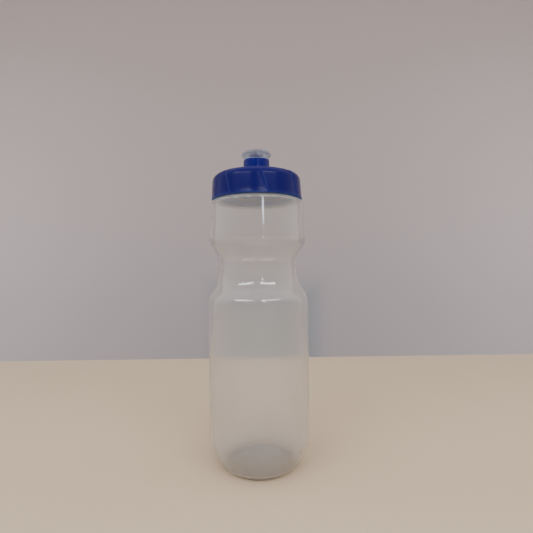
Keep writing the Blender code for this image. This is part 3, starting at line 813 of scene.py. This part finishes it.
class MouldPin(bpy.types.Operator):
    """Mould the sealing pin on its webs in the valve stem"""

    bl_idname = "squeeze.mould_pin"
    bl_label = "Valve pin"

    def execute(self, context):
        sizes = context.scene.cap_sizes
        foot = sizes.deck_height - sizes.deck_thickness
        tip_fillet = 0.9 * MM
        corners = [
            (0, foot, 0),
            (sizes.pin_radius, foot, 0.5 * MM),
            (sizes.pin_radius, CAP_HIGH.z, tip_fillet),
            (0, CAP_HIGH.z, 0),
        ]
        pin = turned("valve_pin", rounded(corners), even_columns(COLUMNS // 3), closed=False)
        bm = bmesh.new()
        sunk = 0.3 * MM  # how deep a web runs into the stem, and how high its foot is over the pin's
        reach = sizes.stem_bore + sunk
        middle = Vector((reach / 2, 0, foot + sizes.web_height / 2 + sunk))
        size = (reach, sizes.web_thickness, sizes.web_height, 1)
        for web in range(sizes.webs):
            turn = Matrix.Rotation(sizes.web_turn + math.tau * web / sizes.webs, 4, "Z")
            place = turn @ Matrix.Translation(middle) @ Matrix.Diagonal(size)
            bmesh.ops.create_cube(bm, size=1, matrix=place)
        long_edge = 2 * MM
        bmesh.ops.bevel(
            bm,
            geom=[edge for edge in bm.edges if edge.calc_length() > long_edge],
            offset=0.15 * MM,
            segments=2,
            affect="EDGES",
        )
        webs = piece_from(bm, "pin_webs")
        union = pin.modifiers.new("webs", "BOOLEAN")
        union.operation = "UNION"
        union.solver = "EXACT"
        union.object = webs
        made = bpy.data.meshes.new_from_object(pin.evaluated_get(context.evaluated_depsgraph_get()))
        pin.modifiers.clear()
        pin.data = made
        bpy.data.objects.remove(webs)
        finishes = context.scene.bottle_finishes
        material = moulded_polypropylene(
            "moulded_blue_pp_pin",
            finishes.cap_blue,
            finishes.cap_blue_pale,
            finishes.pin_roughness,
            finishes.cap_shine,
        )
        dress(pin, "cap", "cap", material, "screw_cap")
        return {"FINISHED"}


class CutSeal(bpy.types.Operator):
    """Mould the soft seal that lies between the neck's rim and the cap"""

    bl_idname = "squeeze.cut_seal"
    bl_label = "Seal"

    def execute(self, context):
        sizes = context.scene.spout_sizes
        low, high, outer = SEAL_LOW.z, SEAL_HIGH.z, SEAL_HIGH.x
        edge = 0.4 * MM
        middle = (sizes.seal_inner + outer) / 2
        bead = sizes.seal_bead
        bead_foot, bead_crest = 0.9 * MM, 0.4 * MM

        def face(height, side):
            """A flat face with one pressing bead along its middle."""
            flat = height - side * bead
            places = [(-bead_foot, flat), (-bead_crest, height), (bead_crest, height), (bead_foot, flat)]
            return [(middle + off, z, 0.2 * MM) for off, z in places]

        bottom = [(sizes.seal_inner, low + bead, edge), *face(low, -1), (outer, low + bead, edge)]
        top = [(sizes.seal_inner, high - bead, edge), *face(high, 1), (outer, high - bead, edge)]
        seal = turned("seal_washer", rounded(bottom + top[::-1], closed=True))
        finishes = context.scene.bottle_finishes
        material = moulded_elastomer(
            "moulded_silicone", finishes.seal_milk, finishes.seal_clarity, finishes.seal_roughness
        )
        dress(seal, "seal", "seal", material, "cap_seal")
        return {"FINISHED"}


class MouldSpout(bpy.types.Operator):
    """Mould the blue push-pull barrel with its nozzle"""

    bl_idname = "squeeze.mould_spout"
    bl_label = "Spout barrel"

    def execute(self, context):
        sizes = context.scene.spout_sizes
        foot, top = SPOUT_LOW.z, SPOUT_HIGH.z
        lip_top = foot + sizes.lip_height
        lead_in = 0.3 * MM
        hole_foot = top - sizes.orifice_length
        corners = [
            (sizes.radius + sizes.draft, foot, 0.5 * MM),
            (sizes.radius, sizes.shelf, 0.6 * MM),
            (sizes.nozzle_radius, sizes.shelf, 0.3 * MM),
            (sizes.nozzle_radius, top, 0.4 * MM),
            (sizes.orifice, top, 0.3 * MM),
            (sizes.orifice, hole_foot, 0.2 * MM),
            (sizes.cavity, hole_foot, 0.3 * MM),
            (sizes.cavity, sizes.ceiling, 0.2 * MM),
            (sizes.bore, sizes.ceiling, 0.3 * MM),
            (sizes.bore, lip_top + 0.6 * MM, 0.2 * MM),
            (sizes.lip_radius, lip_top, 0.2 * MM),
            (sizes.lip_radius, foot + lead_in, 0.1 * MM),
            (sizes.lip_radius + lead_in, foot, 0.1 * MM),
        ]
        outline = rounded(corners, closed=True)
        points = divided(outline + outline[:1], lambda middle: 1.2 * MM)[:-1]
        spout = turned("spout_moulding", points, even_columns(COLUMNS // 2))
        rim_height = sizes.shelf - 0.3 * MM
        rim_band = 0.8 * MM
        barrel_inside = sizes.radius - 1 * MM
        most_wear = 0.35

        def wear(place):
            on_rim = smooth(1 - abs(place.z - rim_height) / rim_band)
            return most_wear * on_rim if math.hypot(place.x, place.y) > barrel_inside else 0

        mark(spout, "edge_wear", wear)
        finishes = context.scene.bottle_finishes
        flow_gain = 1.2
        pale = [level * flow_gain for level in finishes.spout_blue]
        material = moulded_polypropylene(
            "moulded_blue_pp_spout",
            finishes.spout_blue,
            pale,
            finishes.spout_roughness,
            finishes.spout_shine,
        )
        dress(spout, "spout", "spout", material, "spout_barrel")
        return {"FINISHED"}


class MouldMouthpiece(bpy.types.Operator):
    """Mould the soft see-through mouthpiece round the nozzle"""

    bl_idname = "squeeze.mould_mouthpiece"
    bl_label = "Mouthpiece"

    def execute(self, context):
        sizes = context.scene.spout_sizes
        foot, top = MOUTH_LOW.z, MOUTH_HIGH.z
        socket_top = SPOUT_HIGH.z + 0.3 * MM
        throat = socket_top + sizes.floor
        lip = sizes.mouth_rim - sizes.lip_roll
        corners = [
            (sizes.mouth_neck, foot, 0.2 * MM),
            (sizes.mouth_rim, top - sizes.rim_drop, 0.5 * MM),
            (lip, top, 0.5 * MM),
            (lip - sizes.lip_width, top, 0.5 * MM),
            (sizes.mouth_bore, throat, 0.4 * MM),
            (sizes.mouth_bore, socket_top, 0.2 * MM),
            (sizes.socket, socket_top, 0.2 * MM),
            (sizes.socket, foot, 0.2 * MM),
        ]
        outline = rounded(corners, closed=True)
        points = divided(outline + outline[:1], lambda middle: 0.8 * MM)[:-1]
        mouth = turned("soft_mouthpiece", points, even_columns(COLUMNS // 2))
        finishes = context.scene.bottle_finishes
        material = moulded_elastomer(
            "moulded_tpe", finishes.mouth_milk, finishes.mouth_clarity, finishes.mouth_roughness
        )
        dress(mouth, "spout", "mouthpiece", material, "mouthpiece")
        return {"FINISHED"}


def direction(azimuth, elevation):
    """The unit vector towards an azimuth from the camera's side, clockwise from above, and an elevation."""
    level = math.cos(elevation)
    return Vector((math.sin(azimuth) * level, -math.cos(azimuth) * level, math.sin(elevation)))


def area_lamp(name, width, height, radiance, tint):
    """A soft rectangular lamp of a given radiance."""
    light = bpy.data.lights.new(name, "AREA")
    light.shape = "RECTANGLE"
    light.size, light.size_y = width, height
    light.energy = radiance * math.pi * width * height
    light.color = tint
    lamp = bpy.data.objects.new(name, light)
    bpy.context.scene.collection.objects.link(lamp)
    return lamp


def lay_floor(stage):
    """A thick floor board with a rounded far edge."""
    reach, back = stage.floor_reach, stage.floor_back
    thickness = 25 * MM
    slab = bmesh.new()
    size = Matrix.Diagonal((2 * reach, reach + back, thickness, 1))
    middle = Matrix.Translation((0, (back - reach) / 2, -thickness / 2))
    bmesh.ops.create_cube(slab, size=1, matrix=middle @ size)
    far = [edge for edge in slab.edges if all(vert.co.y > back - MM for vert in edge.verts)]
    bmesh.ops.bevel(slab, geom=far, offset=1.5 * MM, segments=4, affect="EDGES")
    floor = piece_from(slab, "floor")
    floor.data.materials.append(pale_laminate())
    return floor


def hang_backdrop(stage):
    """An upright wall behind the floor."""
    half_side = 2.4
    wall = bmesh.new()
    facing = Matrix.Rotation(math.pi / 2, 4, "X")
    place = Matrix.Translation((0, stage.backdrop_distance, 0)) @ facing
    bmesh.ops.create_grid(wall, x_segments=8, y_segments=8, size=half_side, matrix=place)
    backdrop = piece_from(wall, "backdrop")
    backdrop.data.materials.append(wall_paint())
    return backdrop


def light_room(stage, tint):
    """Soft light from above and behind that falls off towards the camera's side, and the lamps."""
    dimmest, brightest = -0.8, 1.3
    world = bpy.data.worlds.new("room")
    world.use_nodes = True
    tree = world.node_tree
    outwards = add_node(tree, "ShaderNodeTexCoord").outputs["Generated"]
    parts = add_node(tree, "ShaderNodeSeparateXYZ", {"Vector": outwards})
    back_and_up = {0: parts.outputs["Y"], 1: parts.outputs["Z"]}
    rise = add_node(tree, "ShaderNodeMath", back_and_up, operation="ADD")
    level = add_node(
        tree,
        "ShaderNodeMapRange",
        {
            "Value": rise.outputs[0],
            "From Min": dimmest,
            "From Max": brightest,
            "To Min": stage.front_light,
            "To Max": stage.room_light,
        },
        interpolation_type="SMOOTHSTEP",
    )
    ground = tree.nodes["Background"]
    ground.inputs["Color"].default_value = opaque(tint)
    tree.links.new(level.outputs[0], ground.inputs["Strength"])
    bpy.context.scene.world = world

    middle = Vector((0, 0, BOTTLE_HIGH.z / 2))
    for name, light, azimuth, elevation, width, height, lamp_tint in LAMPS:
        lamp = area_lamp(name, width, height, getattr(stage, light), lamp_tint)
        towards = direction(math.radians(azimuth), math.radians(elevation))
        lamp.location = middle + towards * stage.lamp_distance
        lamp.rotation_mode = "QUATERNION"
        lamp.rotation_quaternion = (-towards).to_track_quat("-Z", "Y")
    for side in (-1, 1):
        lamp = area_lamp("wash", *WASH_SIZE, stage.wash_light, WHITE)
        lamp.location = (side * WASH_ASIDE, stage.backdrop_distance - WASH_FORWARD, WASH_HEIGHT)
        lamp.rotation_euler = (math.pi / 2, 0, side * WASH_TURN)


def set_camera(stage):
    """A camera in front of the bottle, a little right of its axis and slightly rolled."""
    lens = bpy.data.cameras.new("camera")
    lens.lens = stage.lens
    camera = bpy.data.objects.new("camera", lens)
    camera.location = (stage.eye_side, -stage.eye_distance, stage.eye_height)
    camera.rotation_euler = (math.pi / 2, stage.eye_roll, 0)
    bpy.context.scene.collection.objects.link(camera)
    bpy.context.scene.camera = camera


class SetStage(bpy.types.Operator):
    """Lay the floor, hang the backdrop, and set the lamps and the camera"""

    bl_idname = "squeeze.set_stage"
    bl_label = "Stage"

    def execute(self, context):
        stage = context.scene.bottle_stage
        lay_floor(stage)
        hang_backdrop(stage)
        light_room(stage, context.scene.bottle_finishes.room)
        set_camera(stage)
        return {"FINISHED"}


class BottlePanel(bpy.types.Panel):
    """Lists the operators and the values that they read"""

    bl_idname = "VIEW3D_PT_squeeze_bottle"
    bl_label = "Squeeze Bottle"
    bl_space_type = "VIEW_3D"
    bl_region_type = "UI"
    bl_category = "Squeeze Bottle"

    def draw(self, context):
        for operator in OPERATORS:
            self.layout.operator(operator.bl_idname)
        for group, _ in GROUPS:
            values = getattr(context.scene, group)
            box = self.layout.box()
            for name in values.bl_rna.properties.keys():
                if name not in ("name", "rna_type"):
                    box.prop(values, name)


GROUPS = (
    ("bottle_sizes", BottleSizes),
    ("cap_sizes", CapSizes),
    ("spout_sizes", SpoutSizes),
    ("bottle_finishes", Finishes),
    ("bottle_stage", StageSizes),
)
OPERATORS = (SetStage, BlowBottle, MouldCap, MouldPin, CutSeal, MouldSpout, MouldMouthpiece)


def register():
    for name, group in GROUPS:
        bpy.utils.register_class(group)
        setattr(bpy.types.Scene, name, PointerProperty(type=group))
    for made in (*OPERATORS, BottlePanel):
        bpy.utils.register_class(made)


def unregister():
    for made in (BottlePanel, *reversed(OPERATORS)):
        bpy.utils.unregister_class(made)
    for name, group in reversed(GROUPS):
        delattr(bpy.types.Scene, name)
        bpy.utils.unregister_class(group)


def main():
    register()
    bpy.ops.squeeze.set_stage()
    bpy.ops.squeeze.blow_bottle()
    bpy.ops.squeeze.mould_cap()
    bpy.ops.squeeze.mould_pin()
    bpy.ops.squeeze.cut_seal()
    bpy.ops.squeeze.mould_spout()
    bpy.ops.squeeze.mould_mouthpiece()


if __name__ == "__main__":
    main()
